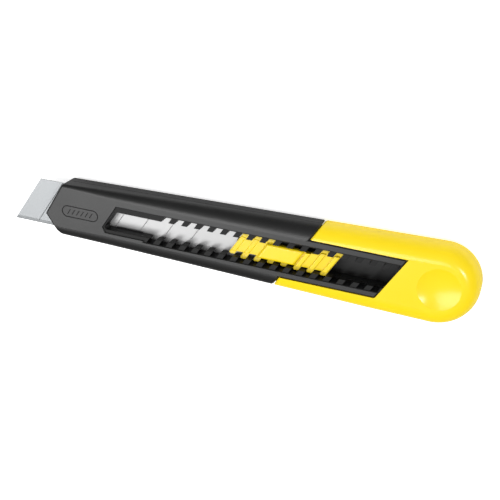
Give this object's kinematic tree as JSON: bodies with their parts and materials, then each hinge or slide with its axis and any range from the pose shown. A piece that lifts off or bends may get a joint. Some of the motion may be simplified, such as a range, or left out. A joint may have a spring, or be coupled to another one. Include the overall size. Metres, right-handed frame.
{
  "type": "utility knife",
  "caption": "Slim snap-off utility knife with a toothed thumb slider, scored steel blade, ribbed rack window and pull-off rear end cap.",
  "frame": {"origin": "on the flat back face, on the blade's centre line, half way along the knife with the blade as it rests", "axes": "+X from the blade's point towards the rear end cap, +Y towards the blade's blunt spine, +Z out of the face that holds the slider"},
  "size_m": [0.1795, 0.0293, 0.0125],
  "materials": {
    "black_plastic": "fine moulded texture, satin",
    "yellow_plastic": "smooth moulded, semi-gloss",
    "blade_steel": "ground and lightly brushed",
    "spring_steel": "plain rolled strip"
  },
  "bodies": {
    "housing": {"front_shell": "black_plastic", "back_shell": "black_plastic"},
    "cap": {"end_cap": "yellow_plastic"},
    "carriage": {"blade_carrier": "black_plastic", "leaf_spring": "spring_steel", "blade_segment_1": "blade_steel", "blade_segment_2": "blade_steel", "blade_segment_3": "blade_steel", "blade_segment_4": "blade_steel", "blade_segment_5": "blade_steel", "blade_segment_6": "blade_steel", "blade_segment_7": "blade_steel", "blade_tail": "blade_steel"},
    "lock_slider": {"slider": "yellow_plastic"}
  },
  "joints": [
    {"name": "blade_slide", "type": "slide", "parent": "housing", "child": "carriage", "axis": [1, 0, 0], "range_m": [-0.03, 0.03]},
    {"name": "lock_press", "type": "slide", "parent": "carriage", "child": "lock_slider", "axis": [0, 0, -1], "range_m": [0, 0.0014], "stiffness_N_per_m": 1200, "springref_m": -0.0008, "deforming": ["leaf_spring"]},
    {"name": "cap_pull", "type": "slide", "parent": "housing", "child": "cap", "axis": [1, 0, 0], "range_m": [0, 0.054]}
  ]
}
